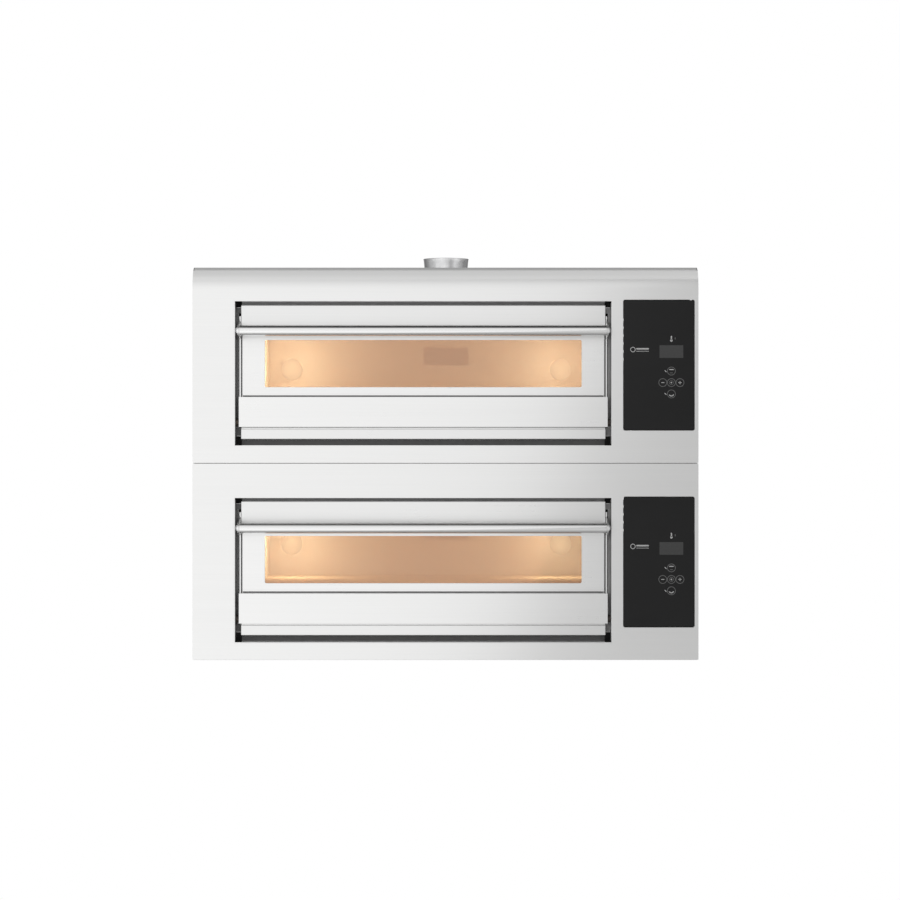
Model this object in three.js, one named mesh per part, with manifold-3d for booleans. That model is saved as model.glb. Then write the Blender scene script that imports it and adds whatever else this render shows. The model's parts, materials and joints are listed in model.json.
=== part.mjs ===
// Double-deck electric pizza oven for a counter: two stacked baking decks, each with a drop-down
// glazed door, a stone-floored chamber, heating elements, lamps and a black glass control panel.
// Millimetres, +Z up. X runs left to right seen from the front, Y runs from the front to the back.
// The origin is on the resting plane, under the middle of the whole object.
import * as THREE from "three";
import { mergeVertices } from "three/addons/utils/BufferGeometryUtils.js";
import Module from "manifold-3d";

const wasm = await Module();
wasm.setup();

// ---- driving dimensions ------------------------------------------------------------------

const SHEET = 1.5; // stainless sheet
const CLEAR = 0.3; // gap between pieces that touch
const CASE = { width: 1000, depth: 900, deckHeight: 389, sideX: 500 };
const EDGE_GAP = 0.8; // each outer sheet stops this far short of the deck's top and bottom
const NOSE_RADIUS = 45; // rolled front edge of the roof
const NOSE_FLAT = 20; // flat strip behind the rolled edge
const FASCIA_FLANGE = 20;
const ROOF_SKIRT = 15;

// The baking bay sits left of the casing's middle, because the controls take the right side.
const BAY_X = -44;
const OPENING = { halfWidth: 372, bottom: 35, top: 320, returnDepth: 30, bendRadius: 3 };
const LIP = { topEdge: 314, bottomEdge: 46.8, narrow: 366.5, wide: 361.7 };
const CORNER_RELIEF = { width: 12, top: 11, bottom: 18.5 };
const CHEEK_SLOT = { bottom: 70, top: 297 };

const CHAMBER = {
  halfWidth: 350, front: 61.5, back: 767, bottom: 81.5, top: 298.5,
  flangeHalfWidth: 384, flangeBottom: 28, flangeTop: 332,
};
const MOUTH = { halfWidth: 346, bottom: 134.5, top: 258 };
const STONE = { bottom: 121, thickness: 15, front: 63.5, back: 766, joint: 0.3 };
const ELEMENT = { radius: 4.25, bottomZ: 100, topZ: 283, outerX: 378, turnX: 250, firstY: 140, pitch: 150 };
const LAMP = { x: 300, z: 205, domeRadius: 24, bodyRadius: 20 };

const STRIP = { halfWidth: 361.2, back: 59.8 };
const LINTEL = { front: 24, bottom: 264, top: 312.8 };
const KICK = { front: 20, bottom: 48, top: 67.2, riserFront: 28.6, riserTop: 70.9 };
const WOOL = { left: -478, right: 338, front: 66, back: 850, bottom: 2, top: 352 };

// The door turns about a line through the lower front corner of its bottom rail.
const HINGE = { y: 18.5, z: 81, pinRadius: 4, holeRadius: 4.5, collarRadius: 7, innerX: 325 };
const DOOR = {
  panelHalfWidth: 358.9, railHalfWidth: 365, panelFront: 25, railFront: 9, back: 59.5,
  bottom: 71.6, railTop: 131, top: 262, linerTop: 252, linerFront: 31.5,
};
const WINDOW = { halfWidth: 315.5, bottom: 149.4, top: 245.6, cornerRadius: 4 };
const CHEEK = {
  outerX: 365, innerX: 362, front: 27, armTop: 281.5, armBottom: 246,
  earBottom: 284.5, earTop: 291.5, earBack: 41, notchBack: 32,
};
const HANDLE = { y: -23, z: 261.5, radius: 10.5, wall: 1.5, tipRadius: 10 };
const SPRING = { inner: 4.9, outer: 7, from: 330, to: 360.5 };

const GLASS = { left: 352, right: 491.7, bottom: 65.2, top: 322.2, front: 0.4, thickness: 4, gap: 0.9 };
const DISPLAY = { left: 423, right: 470, bottom: 208, top: 233 };

const FLUE = { y: 822, baseRadius: 46, topRadius: 51.1, height: 66.5, wall: 1.5, flangeRadius: 65 };
const DUCT = { halfWidth: 54, front: 770, back: 874, bottom: 190, portBottom: 215, portTop: 255, portHalf: 50 };
const GLAND = { x: 420, z: 60, reach: 22 };

const HANDLE_REACH = HANDLE.radius - HANDLE.y;
const FRONT_Y = (HANDLE_REACH - (CASE.depth + CLEAR + GLAND.reach)) / 2;
const ROOF_Z = 2 * CASE.deckHeight;

// ---- finishes ----------------------------------------------------------------------------

const finish = (color, roughness, metalness) =>
  new THREE.MeshStandardMaterial({ color, roughness, metalness });
const STAINLESS = finish(0xdedfdf, 0.32, 0.9);
const POLISHED = finish(0xe6e7e8, 0.14, 1.0);
const LINER_STEEL = finish(0xb9b4ac, 0.45, 0.9);
const REFRACTORY = finish(0xc9b896, 0.95, 0.0);
const MINERAL_WOOL = finish(0xcfc59c, 1.0, 0.0);
const BLACK_GLASS = finish(0x141414, 0.08, 0.0);
const BRONZE_GLASS = finish(0xb9916f, 0.12, 0.0);
const CLEAR_GLASS = finish(0xd9e2df, 0.05, 0.0);
const LAMP_GLASS = finish(0xffe2b0, 0.2, 0.0);
const ELEMENT_STEEL = finish(0x54504c, 0.6, 0.8);
const SPRING_STEEL = finish(0x8d9094, 0.35, 1.0);
const BOARD = finish(0x1f5a38, 0.6, 0.1);
const POLYAMIDE = finish(0x23262a, 0.55, 0.0);

// ---- solids ------------------------------------------------------------------------------

const box = (x, y, z) =>
  new THREE.BoxGeometry(x[1] - x[0], y[1] - y[0], z[1] - z[0])
    .translate((x[0] + x[1]) / 2, (y[0] + y[1]) / 2, (z[0] + z[1]) / 2);

// Boxes mirrored to both sides of x = 0.
const pairOfBoxes = (x, y, z) => [box(x, y, z), box([-x[1], -x[0]], y, z)];

// An outline in Y and Z, run along X.
function alongX(shape, from, to, curveSegments = 8) {
  const turn = new THREE.Matrix4().makeBasis(
    new THREE.Vector3(0, 1, 0), new THREE.Vector3(0, 0, 1), new THREE.Vector3(1, 0, 0));
  const options = { depth: to - from, bevelEnabled: false, curveSegments };
  return new THREE.ExtrudeGeometry(shape, options).applyMatrix4(turn).translate(from, 0, 0);
}

// An outline in X and Z, run along Y.
function alongY(shape, from, to, curveSegments = 4) {
  const options = { depth: to - from, bevelEnabled: false, curveSegments };
  return new THREE.ExtrudeGeometry(shape, options).rotateX(Math.PI / 2).translate(0, to, 0);
}

const polygon = (points) => new THREE.Shape(points.map(([a, b]) => new THREE.Vector2(a, b)));

function roundedRectangle(x, z, radius) {
  const quarter = Math.PI / 2;
  const shape = new THREE.Shape();
  shape.absarc(x[1] - radius, z[0] + radius, radius, -quarter, 0);
  shape.absarc(x[1] - radius, z[1] - radius, radius, 0, quarter);
  shape.absarc(x[0] + radius, z[1] - radius, radius, quarter, 2 * quarter);
  shape.absarc(x[0] + radius, z[0] + radius, radius, 2 * quarter, 3 * quarter);
  return shape;
}

// A solid of revolution from (radius, height) pairs that close on themselves or on the axis.
const turned = (profile, segments) =>
  new THREE.LatheGeometry(profile.map(([r, h]) => new THREE.Vector2(r, h)), segments);
const turnedAlongX = (profile, segments) => turned(profile, segments).rotateZ(-Math.PI / 2);
const turnedAlongY = turned;
const turnedAlongZ = (profile, segments) => turned(profile, segments).rotateX(Math.PI / 2);

const rodAlongX = (radius, from, to, y, z) =>
  new THREE.CylinderGeometry(radius, radius, to - from, 24)
    .rotateZ(Math.PI / 2).translate((from + to) / 2, y, z);
const rodAlongY = (radius, from, to, x, z) =>
  new THREE.CylinderGeometry(radius, radius, to - from, 24).translate(x, (from + to) / 2, z);
const rodAlongZ = (radius, from, to, x, y) =>
  new THREE.CylinderGeometry(radius, radius, to - from, 32)
    .rotateX(Math.PI / 2).translate(x, y, (from + to) / 2);

function solidOf(geometry) {
  const bare = geometry.clone().deleteAttribute("normal").deleteAttribute("uv");
  const merged = mergeVertices(bare, 1e-4);
  return new wasm.Manifold(new wasm.Mesh({
    numProp: 3,
    vertProperties: merged.attributes.position.array,
    triVerts: new Uint32Array(merged.index.array),
  }));
}

function geometryOf(solid) {
  const { vertProperties, triVerts } = solid.getMesh();
  const geometry = new THREE.BufferGeometry();
  geometry.setAttribute("position", new THREE.BufferAttribute(vertProperties, 3));
  geometry.setIndex(new THREE.BufferAttribute(triVerts, 1));
  const flat = geometry.toNonIndexed();
  flat.computeVertexNormals();
  return flat;
}

const joined = (...pieces) =>
  geometryOf(pieces.map(solidOf).reduce((whole, piece) => whole.add(piece)));
const cut = (geometry, ...tools) =>
  geometryOf(tools.map(solidOf).reduce((whole, tool) => whole.subtract(tool), solidOf(geometry)));

function mesh(name, geometry, material) {
  const made = new THREE.Mesh(geometry, material);
  made.name = name;
  return made;
}

// ---- casing ------------------------------------------------------------------------------

// Outline of the rolled roof edge from its foot on the front face to the top face, in (Y, Z).
function noseArc(path, inset, from = Math.PI, to = Math.PI / 2) {
  path.absarc(NOSE_RADIUS, CASE.deckHeight - NOSE_RADIUS, NOSE_RADIUS - inset, from, to, to < from);
}

// Front sheet of the top deck, which rolls back over the roof's edge.
function noseSheet() {
  const shape = new THREE.Shape();
  const end = NOSE_RADIUS + NOSE_FLAT;
  shape.moveTo(0, EDGE_GAP);
  shape.lineTo(0, CASE.deckHeight - NOSE_RADIUS);
  noseArc(shape, 0);
  shape.lineTo(end, CASE.deckHeight);
  shape.lineTo(end, CASE.deckHeight - SHEET);
  noseArc(shape, SHEET, Math.PI / 2, Math.PI);
  shape.lineTo(SHEET, EDGE_GAP);
  return alongX(shape, -CASE.sideX + SHEET + CLEAR, CASE.sideX - SHEET - CLEAR, 10);
}

// Front sheet of the lower deck, folded back along its top.
function flatSheet() {
  const inner = CASE.sideX - SHEET - CLEAR;
  const top = CASE.deckHeight - EDGE_GAP;
  const profile = polygon([
    [0, EDGE_GAP], [0, top], [12, top], [12, top - SHEET], [SHEET, top - SHEET], [SHEET, EDGE_GAP],
  ]);
  return alongX(profile, -inner, inner);
}

// The fold that wraps each front corner of the casing.
function cornerFlange(isTop) {
  const shape = new THREE.Shape();
  shape.moveTo(0, EDGE_GAP);
  if (isTop) {
    shape.lineTo(0, CASE.deckHeight - NOSE_RADIUS);
    const reach = Math.acos((NOSE_RADIUS - FASCIA_FLANGE) / NOSE_RADIUS);
    noseArc(shape, 0, Math.PI, Math.PI - reach);
  } else {
    shape.lineTo(0, CASE.deckHeight - EDGE_GAP);
    shape.lineTo(FASCIA_FLANGE, CASE.deckHeight - EDGE_GAP);
  }
  shape.lineTo(FASCIA_FLANGE, EDGE_GAP);
  const inner = CASE.sideX - SHEET - CLEAR;
  return [alongX(shape, inner, CASE.sideX, 6), alongX(shape, -CASE.sideX, -inner, 6)];
}

// A quarter-round flare, so that the sheet bends into the opening instead of meeting it square.
function openingFlare(x, z, radius, steps = 3) {
  const flares = [];
  for (let i = 0; i < steps; i++) {
    const [near, far] = [i, i + 1].map((k) => (k / steps) * (Math.PI / 2));
    const middle = (near + far) / 2;
    const grow = radius * (1 - Math.sin(middle));
    const depth = [radius * (1 - Math.cos(near)), radius * (1 - Math.cos(far))];
    flares.push(box([x[0] - grow, x[1] + grow], [i ? depth[0] - 0.05 : -1, depth[1]],
      [z[0] - grow, z[1] + grow]));
  }
  return flares;
}

// Four-sided return around the door opening with inner lips, and relief notches at its corners.
function openingReturn() {
  const { halfWidth, bottom, top, returnDepth } = OPENING;
  const wall = box([-halfWidth - SHEET, halfWidth + SHEET], [0, returnDepth],
    [bottom - SHEET, top + SHEET]);
  return wall.translate(BAY_X, 0, 0);
}

function openingCutters() {
  const { halfWidth, bottom, top, returnDepth, bendRadius } = OPENING;
  const lipFront = returnDepth - SHEET;
  const beyond = [lipFront - 0.1, returnDepth + 1];
  const notchDepth = [bendRadius, returnDepth + 1];
  const notchX = [halfWidth - CORNER_RELIEF.width, halfWidth + SHEET + 1];
  const cutters = [
    ...openingFlare([-halfWidth, halfWidth], [bottom, top], bendRadius),
    box([-halfWidth, halfWidth], [-1, lipFront], [bottom, top]),
    box([-LIP.wide, LIP.wide], beyond, [LIP.bottomEdge, LIP.topEdge]),
    box([-LIP.narrow, LIP.narrow], beyond, [CHEEK_SLOT.bottom, CHEEK_SLOT.top]),
    ...pairOfBoxes(notchX, notchDepth, [top - CORNER_RELIEF.top, top + SHEET + 1]),
    ...pairOfBoxes(notchX, notchDepth, [bottom - SHEET - 1, bottom + CORNER_RELIEF.bottom]),
    rodAlongX(HINGE.holeRadius, -halfWidth - 5, halfWidth + 5, HINGE.y, HINGE.z),
  ];
  return cutters.map((cutter) => cutter.translate(BAY_X, 0, 0));
}

function fascia(isTop) {
  const { left, right, bottom, top, gap } = GLASS;
  const sheet = joined(isTop ? noseSheet() : flatSheet(), ...cornerFlange(isTop), openingReturn());
  const panelHole = alongY(roundedRectangle([left - gap, right + gap], [bottom - gap, top + gap], 4),
    -1, SHEET + 1);
  return cut(sheet, ...openingCutters(), panelHole);
}

function louvreSlots(count, pitch, slot) {
  return Array.from({ length: count }, (_, i) => slot(i * pitch));
}

function sidePanel(side, isTop) {
  const front = FASCIA_FLANGE + CLEAR;
  const back = CASE.depth - SHEET - CLEAR;
  const shape = new THREE.Shape();
  shape.moveTo(back, EDGE_GAP);
  if (isTop) {
    const skirt = CASE.deckHeight - ROOF_SKIRT - CLEAR;
    shape.lineTo(back, skirt);
    shape.lineTo(NOSE_RADIUS + NOSE_FLAT, skirt);
    shape.lineTo(NOSE_RADIUS + NOSE_FLAT, CASE.deckHeight);
    noseArc(shape, 0, Math.PI / 2, Math.PI - Math.acos((NOSE_RADIUS - front) / NOSE_RADIUS));
  } else {
    shape.lineTo(back, CASE.deckHeight - CLEAR);
    shape.lineTo(front, CASE.deckHeight - CLEAR);
  }
  shape.lineTo(front, EDGE_GAP);
  const inner = CASE.sideX - SHEET;
  const plate = side > 0 ? alongX(shape, inner, CASE.sideX) : alongX(shape, -CASE.sideX, -inner);
  if (side < 0) return plate;
  const bank = (y, z0) => louvreSlots(6, 18, (rise) =>
    box([inner - 1, CASE.sideX + 1], [y, y + 110], [z0 + rise, z0 + rise + 5]));
  return cut(plate, ...bank(90, 60), ...bank(90, 240));
}

function rearPanel(isTop) {
  const top = isTop ? CASE.deckHeight - ROOF_SKIRT - CLEAR : CASE.deckHeight - EDGE_GAP;
  const y = [CASE.depth - SHEET, CASE.depth];
  const plate = box([-CASE.sideX, CASE.sideX], y, [EDGE_GAP, top]);
  const slots = louvreSlots(6, 18, (rise) =>
    box([360, 470], [y[0] - 1, y[1] + 1], [230 + rise, 235 + rise]));
  const inlet = rodAlongY(10.5, y[0] - 1, y[1] + 1, GLAND.x, GLAND.z);
  return cut(plate, ...slots, inlet);
}

// Shallow pan that closes the bottom of a deck; the duct passes through the top deck's pan.
function baseTray(isTop) {
  const x = CASE.sideX - SHEET - CLEAR;
  const y = [SHEET + CLEAR, CASE.depth - SHEET - CLEAR];
  const pan = box([-x, x], y, [0, 25]);
  const inside = box([-x + SHEET, x - SHEET], [y[0] + SHEET, y[1] - SHEET], [SHEET, 26]);
  if (!isTop) return cut(pan, inside);
  const { halfWidth, front, back } = DUCT;
  const gap = 2 * CLEAR;
  const passage = box([-halfWidth - gap, halfWidth + gap], [front - gap, back + gap], [-1, 26]);
  return cut(pan, inside, passage);
}

// Lid of the top deck with its sides and back folded down.
function roofPanel() {
  const front = NOSE_RADIUS + NOSE_FLAT + CLEAR;
  const x = CASE.sideX;
  const lid = box([-x, x], [front, CASE.depth], [ROOF_Z - ROOF_SKIRT, ROOF_Z]);
  const hollow = box([-x + SHEET, x - SHEET], [front - 1, CASE.depth - SHEET],
    [ROOF_Z - ROOF_SKIRT - 1, ROOF_Z - SHEET]);
  return cut(lid, hollow, rodAlongZ(FLUE.baseRadius - 3, ROOF_Z - 5, ROOF_Z + 5, 0, FLUE.y));
}

// ---- baking chamber, in the bay's own X ----------------------------------------------------

// Channel-section strip across the bay, open at the back.
function lintelPanel() {
  const { halfWidth, back } = STRIP;
  const { front, bottom, top } = LINTEL;
  const profile = polygon([
    [front, bottom], [back, bottom], [back, bottom + SHEET], [front + SHEET, bottom + SHEET],
    [front + SHEET, top - SHEET], [back, top - SHEET], [back, top], [front, top],
  ]);
  return alongX(profile, -halfWidth, halfWidth);
}

// The same below the door, with a step in its top that clears the door's turning bottom rail.
function kickPanel() {
  const { halfWidth, back } = STRIP;
  const { front, bottom, top, riserFront, riserTop } = KICK;
  const profile = polygon([
    [front, bottom], [back, bottom], [back, bottom + SHEET], [front + SHEET, bottom + SHEET],
    [front + SHEET, top - SHEET], [riserFront + SHEET, top - SHEET], [riserFront + SHEET, riserTop - SHEET],
    [back, riserTop - SHEET], [back, riserTop], [riserFront, riserTop], [riserFront, top], [front, top],
  ]);
  return alongX(profile, -halfWidth, halfWidth);
}

// Liner box with a front flange round the mouth and ledges that carry the stones.
function chamber() {
  const { halfWidth, front, back, bottom, top, flangeHalfWidth } = CHAMBER;
  const wallX = halfWidth + SHEET;
  const behindFlange = front + SHEET;
  const flange = box([-flangeHalfWidth, flangeHalfWidth], [front, behindFlange],
    [CHAMBER.flangeBottom, CHAMBER.flangeTop]);
  const shell = box([-wallX, wallX], [front, back + SHEET], [bottom - SHEET, top + SHEET]);
  const inside = box([-halfWidth, halfWidth], [behindFlange, back], [bottom, top]);
  const mouth = box([-MOUTH.halfWidth, MOUTH.halfWidth], [front - 1, behindFlange + 1],
    [MOUTH.bottom, MOUTH.top]);
  const portX = [-DUCT.portHalf - BAY_X, DUCT.portHalf - BAY_X];
  const port = box(portX, [back - 1, back + SHEET + 1], [DUCT.portBottom, DUCT.portTop]);
  const lampHoles = [-1, 1].map((side) =>
    rodAlongY(LAMP.bodyRadius + 1, back - 1, back + SHEET + 1, side * LAMP.x, LAMP.z));
  const terminalHoles = [ELEMENT.bottomZ, ELEMENT.topZ].flatMap((z) => [0, 3].map((run) =>
    rodAlongX(ELEMENT.radius + 1.5, halfWidth - 1, wallX + 1, ELEMENT.firstY + run * ELEMENT.pitch, z)));
  const hollow = cut(joined(flange, shell), inside, mouth, port, ...lampHoles, ...terminalHoles);
  const ledgeZ = [STONE.bottom - CLEAR - SHEET, STONE.bottom - CLEAR];
  const ledges = [
    ...pairOfBoxes([halfWidth - 10, halfWidth + 0.5], [front + 0.5, back + 0.5], ledgeZ),
    box([-10, 10], [front + 0.5, back + 0.5], ledgeZ),
  ];
  return joined(hollow, ...ledges);
}

function stone(side) {
  const outer = CHAMBER.halfWidth - CLEAR;
  const x = side > 0 ? [STONE.joint, outer] : [-outer, -STONE.joint];
  return box(x, [STONE.front, STONE.back], [STONE.bottom, STONE.bottom + STONE.thickness]);
}

// Sheathed heating element: four runs across the chamber, both ends out through the right wall.
function heatingElement(z) {
  const { outerX, turnX, firstY, pitch, radius } = ELEMENT;
  const route = new THREE.Path();
  const bend = pitch / 2;
  const quarter = Math.PI / 2;
  route.moveTo(outerX, firstY);
  route.lineTo(-turnX, firstY);
  route.absarc(-turnX, firstY + bend, bend, -quarter, quarter, true);
  route.lineTo(turnX, firstY + pitch);
  route.absarc(turnX, firstY + pitch + bend, bend, -quarter, quarter, false);
  route.lineTo(-turnX, firstY + 2 * pitch);
  route.absarc(-turnX, firstY + 2 * pitch + bend, bend, -quarter, quarter, true);
  route.lineTo(outerX, firstY + 3 * pitch);
  const points = route.getSpacedPoints(60).map((p) => new THREE.Vector3(p.x, p.y, z));
  const section = new THREE.Shape().absarc(0, 0, radius, 0, 2 * Math.PI);
  return new THREE.ExtrudeGeometry(section, {
    steps: 60, curveSegments: 8, bevelEnabled: false, extrudePath: new THREE.CatmullRomCurve3(points),
  });
}

// Lamp in the back wall: a heat-proof glass dome on a ceramic body.
function lamp(side) {
  const wall = CHAMBER.back - CLEAR;
  const { domeRadius, bodyRadius } = LAMP;
  return turnedAlongY([
    [0, wall - 18], [domeRadius * 0.5, wall - 16], [domeRadius * 0.85, wall - 10], [domeRadius, wall - 2],
    [domeRadius, wall], [bodyRadius, wall], [bodyRadius, wall + 34], [0, wall + 34],
  ], 16).translate(side * LAMP.x, 0, LAMP.z);
}

// Mineral wool round the liner, in the casing's own X, open where the duct and lamps pass.
function insulation() {
  const { left, right, front, back, bottom, top } = WOOL;
  const block = box([left, right], [front, back], [bottom, top]);
  const wall = CHAMBER.halfWidth + SHEET + CLEAR;
  const liner = box([BAY_X - wall, BAY_X + wall], [60, CHAMBER.back + SHEET + CLEAR],
    [CHAMBER.bottom - SHEET - CLEAR, CHAMBER.top + SHEET + CLEAR]);
  const channel = box([-DUCT.halfWidth - 2, DUCT.halfWidth + 2], [CHAMBER.back, 870], [DUCT.bottom - 2, 390]);
  const riser = box([-DUCT.halfWidth - 2, DUCT.halfWidth + 2], [CHAMBER.back, 870], [-1, DUCT.bottom]);
  const lampPockets = [-1, 1].map((side) =>
    rodAlongY(LAMP.bodyRadius + 3, CHAMBER.back, 870, BAY_X + side * LAMP.x, LAMP.z));
  const terminals = [ELEMENT.bottomZ, ELEMENT.topZ].flatMap((z) => [0, 3].map((run) => {
    const y = ELEMENT.firstY + run * ELEMENT.pitch;
    return box([BAY_X + CHAMBER.halfWidth, right + 1], [y - 8, y + 8], [z - 8, z + 8]);
  }));
  return cut(block, liner, channel, riser, ...lampPockets, ...terminals);
}

// ---- door, in the bay's own X --------------------------------------------------------------

// Front skin: the window panel above, stepping out into the hollow bottom rail.
function doorSkin() {
  const { panelHalfWidth, railHalfWidth, panelFront, railFront, bottom, railTop, top } = DOOR;
  const panelX = [-panelHalfWidth, panelHalfWidth];
  const foldY = [panelFront, panelFront + 5];
  const panel = box(panelX, [panelFront, panelFront + SHEET], [railTop - SHEET, top]);
  const topFold = box(panelX, foldY, [top - SHEET, top]);
  const sideFolds = pairOfBoxes([panelHalfWidth - SHEET, panelHalfWidth], foldY, [railTop - SHEET, top]);
  const rail = alongX(polygon([
    [railFront, bottom], [DOOR.linerFront - CLEAR, bottom], [DOOR.linerFront - CLEAR, bottom + SHEET],
    [railFront + SHEET, bottom + SHEET], [railFront + SHEET, railTop - SHEET],
    [panelFront + SHEET, railTop - SHEET], [panelFront + SHEET, railTop], [railFront, railTop],
  ]), -railHalfWidth, railHalfWidth);
  const { halfWidth, cornerRadius } = WINDOW;
  const hole = roundedRectangle([-halfWidth, halfWidth], [WINDOW.bottom, WINDOW.top], cornerRadius);
  return cut(joined(panel, topFold, ...sideFolds, rail), alongY(hole, panelFront - 1, panelFront + SHEET + 1));
}

// Tray behind the skin that faces the oven, with its own sight hole.
function doorLiner() {
  const halfWidth = CHEEK.innerX - CLEAR;
  const z = [DOOR.bottom + SHEET + CLEAR, DOOR.linerTop];
  const tray = box([-halfWidth, halfWidth], [DOOR.linerFront, DOOR.back], z);
  const hollow = box([-halfWidth + SHEET, halfWidth - SHEET], [DOOR.linerFront - 1, DOOR.back - SHEET],
    [z[0] + SHEET, z[1] - SHEET]);
  const hole = roundedRectangle([-323, 323], [143, 246.5], WINDOW.cornerRadius);
  return cut(tray, hollow, alongY(hole, DOOR.back - SHEET - 1, DOOR.back + 1));
}

function outerPane() {
  const front = DOOR.panelFront + SHEET + CLEAR;
  return box([-332, 332], [front, front + 4], [141, 257]);
}

function innerPane() {
  const back = DOOR.back - SHEET - CLEAR;
  return box([-334, 334], [back - 4, back], [138, 249]);
}

// Side plate of the door: pivots on the hinge pin and carries the handle on its forward arm.
function cheek(side) {
  const { front, armTop, armBottom, innerX, outerX } = CHEEK;
  const railInside = DOOR.railFront + SHEET + CLEAR;
  const { y, z, tipRadius } = HANDLE;
  const lean = Math.atan2(armTop - z - tipRadius, front - y);
  const drop = Math.atan2(z - tipRadius - armBottom, front - y);
  const shape = new THREE.Shape();
  shape.moveTo(railInside, DOOR.bottom + SHEET + CLEAR);
  shape.lineTo(DOOR.back, DOOR.bottom + SHEET + CLEAR);
  shape.lineTo(DOOR.back, DOOR.linerTop);
  shape.lineTo(CHEEK.earBack, CHEEK.earTop);
  shape.lineTo(front, CHEEK.earTop);
  shape.lineTo(front, CHEEK.earBottom);
  shape.lineTo(CHEEK.notchBack, CHEEK.earBottom);
  shape.lineTo(CHEEK.notchBack, armTop);
  shape.lineTo(front, armTop);
  shape.absarc(y, z, tipRadius, Math.PI / 2 + lean, 1.5 * Math.PI - drop, false);
  shape.lineTo(front, armBottom);
  shape.lineTo(front, DOOR.railTop - SHEET - CLEAR);
  shape.lineTo(railInside, DOOR.railTop - SHEET - CLEAR);
  const plate = side > 0 ? alongX(shape, innerX, outerX) : alongX(shape, -outerX, -innerX);
  return cut(plate, rodAlongX(HINGE.holeRadius, -outerX - 1, outerX + 1, HINGE.y, HINGE.z));
}

function handleTube() {
  const half = CHEEK.innerX - CLEAR;
  const { radius, wall, y, z } = HANDLE;
  const bore = radius - wall;
  return turnedAlongX([[bore, -half], [radius, -half], [radius, half], [bore, half], [bore, -half]], 24)
    .translate(0, y, z);
}

// Counterbalance torsion spring on the hinge pin, as the sleeve that its coils fill.
function torsionSpring(side) {
  const { inner, outer, from, to } = SPRING;
  const sleeve = turnedAlongX([[inner, from], [outer, from], [outer, to], [inner, to], [inner, from]], 16);
  return (side > 0 ? sleeve : sleeve.rotateZ(Math.PI)).translate(0, HINGE.y, HINGE.z);
}

// Shouldered pin bolted through the opening's return; its inner end carries door and spring.
function hingePin(side) {
  const { pinRadius, collarRadius, innerX } = HINGE;
  const shoulder = CHEEK.outerX + CLEAR;
  const wall = OPENING.halfWidth;
  const pin = turnedAlongX([
    [0, innerX], [pinRadius, innerX], [pinRadius, shoulder], [collarRadius, shoulder],
    [collarRadius, wall - CLEAR], [pinRadius, wall - CLEAR], [pinRadius, wall + SHEET + CLEAR],
    [collarRadius, wall + SHEET + CLEAR], [collarRadius, wall + 7], [pinRadius, wall + 7],
    [pinRadius, wall + 10], [0, wall + 10],
  ], 16);
  return (side > 0 ? pin : pin.rotateZ(Math.PI)).translate(0, HINGE.y, HINGE.z);
}

// ---- controls and exhaust ------------------------------------------------------------------

function controlGlass() {
  const { left, right, bottom, top, front, thickness } = GLASS;
  return alongY(roundedRectangle([left, right], [bottom, top], 3), front, front + thickness);
}

// Circuit board with its display module in front and its transformer and relays behind.
function controlBoard() {
  const glassBack = GLASS.front + GLASS.thickness + CLEAR;
  const board = [14, 15.6];
  return joined(
    box([362, 482], board, [80, 308]),
    box([DISPLAY.left, DISPLAY.right], [glassBack, board[0] + 0.5], [DISPLAY.bottom, DISPLAY.top]),
    box([372, 422], [board[1] - 0.5, 52], [96, 140]),
    ...[0, 1, 2].map((i) => box([375 + i * 34, 400 + i * 34], [board[1] - 0.5, 34], [250, 280])),
  );
}

// Upright duct behind both chambers, open at the top under the flue and towards each chamber.
function exhaustDuct() {
  const { halfWidth, front, back, bottom, portHalf, portBottom, portTop } = DUCT;
  const top = ROOF_Z - SHEET - CLEAR;
  const tube = box([-halfWidth, halfWidth], [front, back], [bottom, top]);
  const bore = box([-halfWidth + SHEET, halfWidth - SHEET], [front + SHEET, back - SHEET],
    [bottom + SHEET, top + 1]);
  const ports = [0, CASE.deckHeight].map((rise) =>
    box([-portHalf, portHalf], [front - 1, front + SHEET + 1], [portBottom + rise, portTop + rise]));
  return cut(tube, bore, ...ports);
}

// Slightly flared collar on a flange, where the vapour pipe goes on.
function flueCollar() {
  const { baseRadius, topRadius, height, wall, flangeRadius } = FLUE;
  const foot = ROOF_Z + CLEAR;
  const top = ROOF_Z + height;
  return turnedAlongZ([
    [baseRadius - wall, -foot], [flangeRadius, -foot], [flangeRadius, -foot - wall],
    [baseRadius, -foot - wall], [topRadius, -top], [topRadius - wall, -top], [baseRadius - wall, -foot],
  ].map(([r, h]) => [r, -h]), 40).translate(0, FLUE.y, 0);
}

// Cable entry: hexagonal body and domed cap round an open bore.
function cableGland() {
  const wall = CASE.depth + CLEAR;
  const back = wall + GLAND.reach;
  return turnedAlongY([
    [6, wall - 10], [10, wall - 10], [10, wall], [15, wall], [15, wall + 9], [13, wall + 9],
    [13, back - 5], [10, back], [6, back], [6, wall - 10],
  ], 12).translate(GLAND.x, 0, GLAND.z);
}

// ---- assembly ------------------------------------------------------------------------------

function door(deck) {
  const group = new THREE.Group();
  group.add(
    mesh(`${deck}_door_skin`, doorSkin(), STAINLESS),
    mesh(`${deck}_door_liner`, doorLiner(), LINER_STEEL),
    mesh(`${deck}_door_outer_pane`, outerPane(), BRONZE_GLASS),
    mesh(`${deck}_door_inner_pane`, innerPane(), CLEAR_GLASS),
    mesh(`${deck}_door_cheek_left`, cheek(-1), STAINLESS),
    mesh(`${deck}_door_cheek_right`, cheek(1), STAINLESS),
    mesh(`${deck}_handle_tube`, handleTube(), POLISHED),
    mesh(`${deck}_door_spring_left`, torsionSpring(-1), SPRING_STEEL),
    mesh(`${deck}_door_spring_right`, torsionSpring(1), SPRING_STEEL),
  );
  return group;
}

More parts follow.
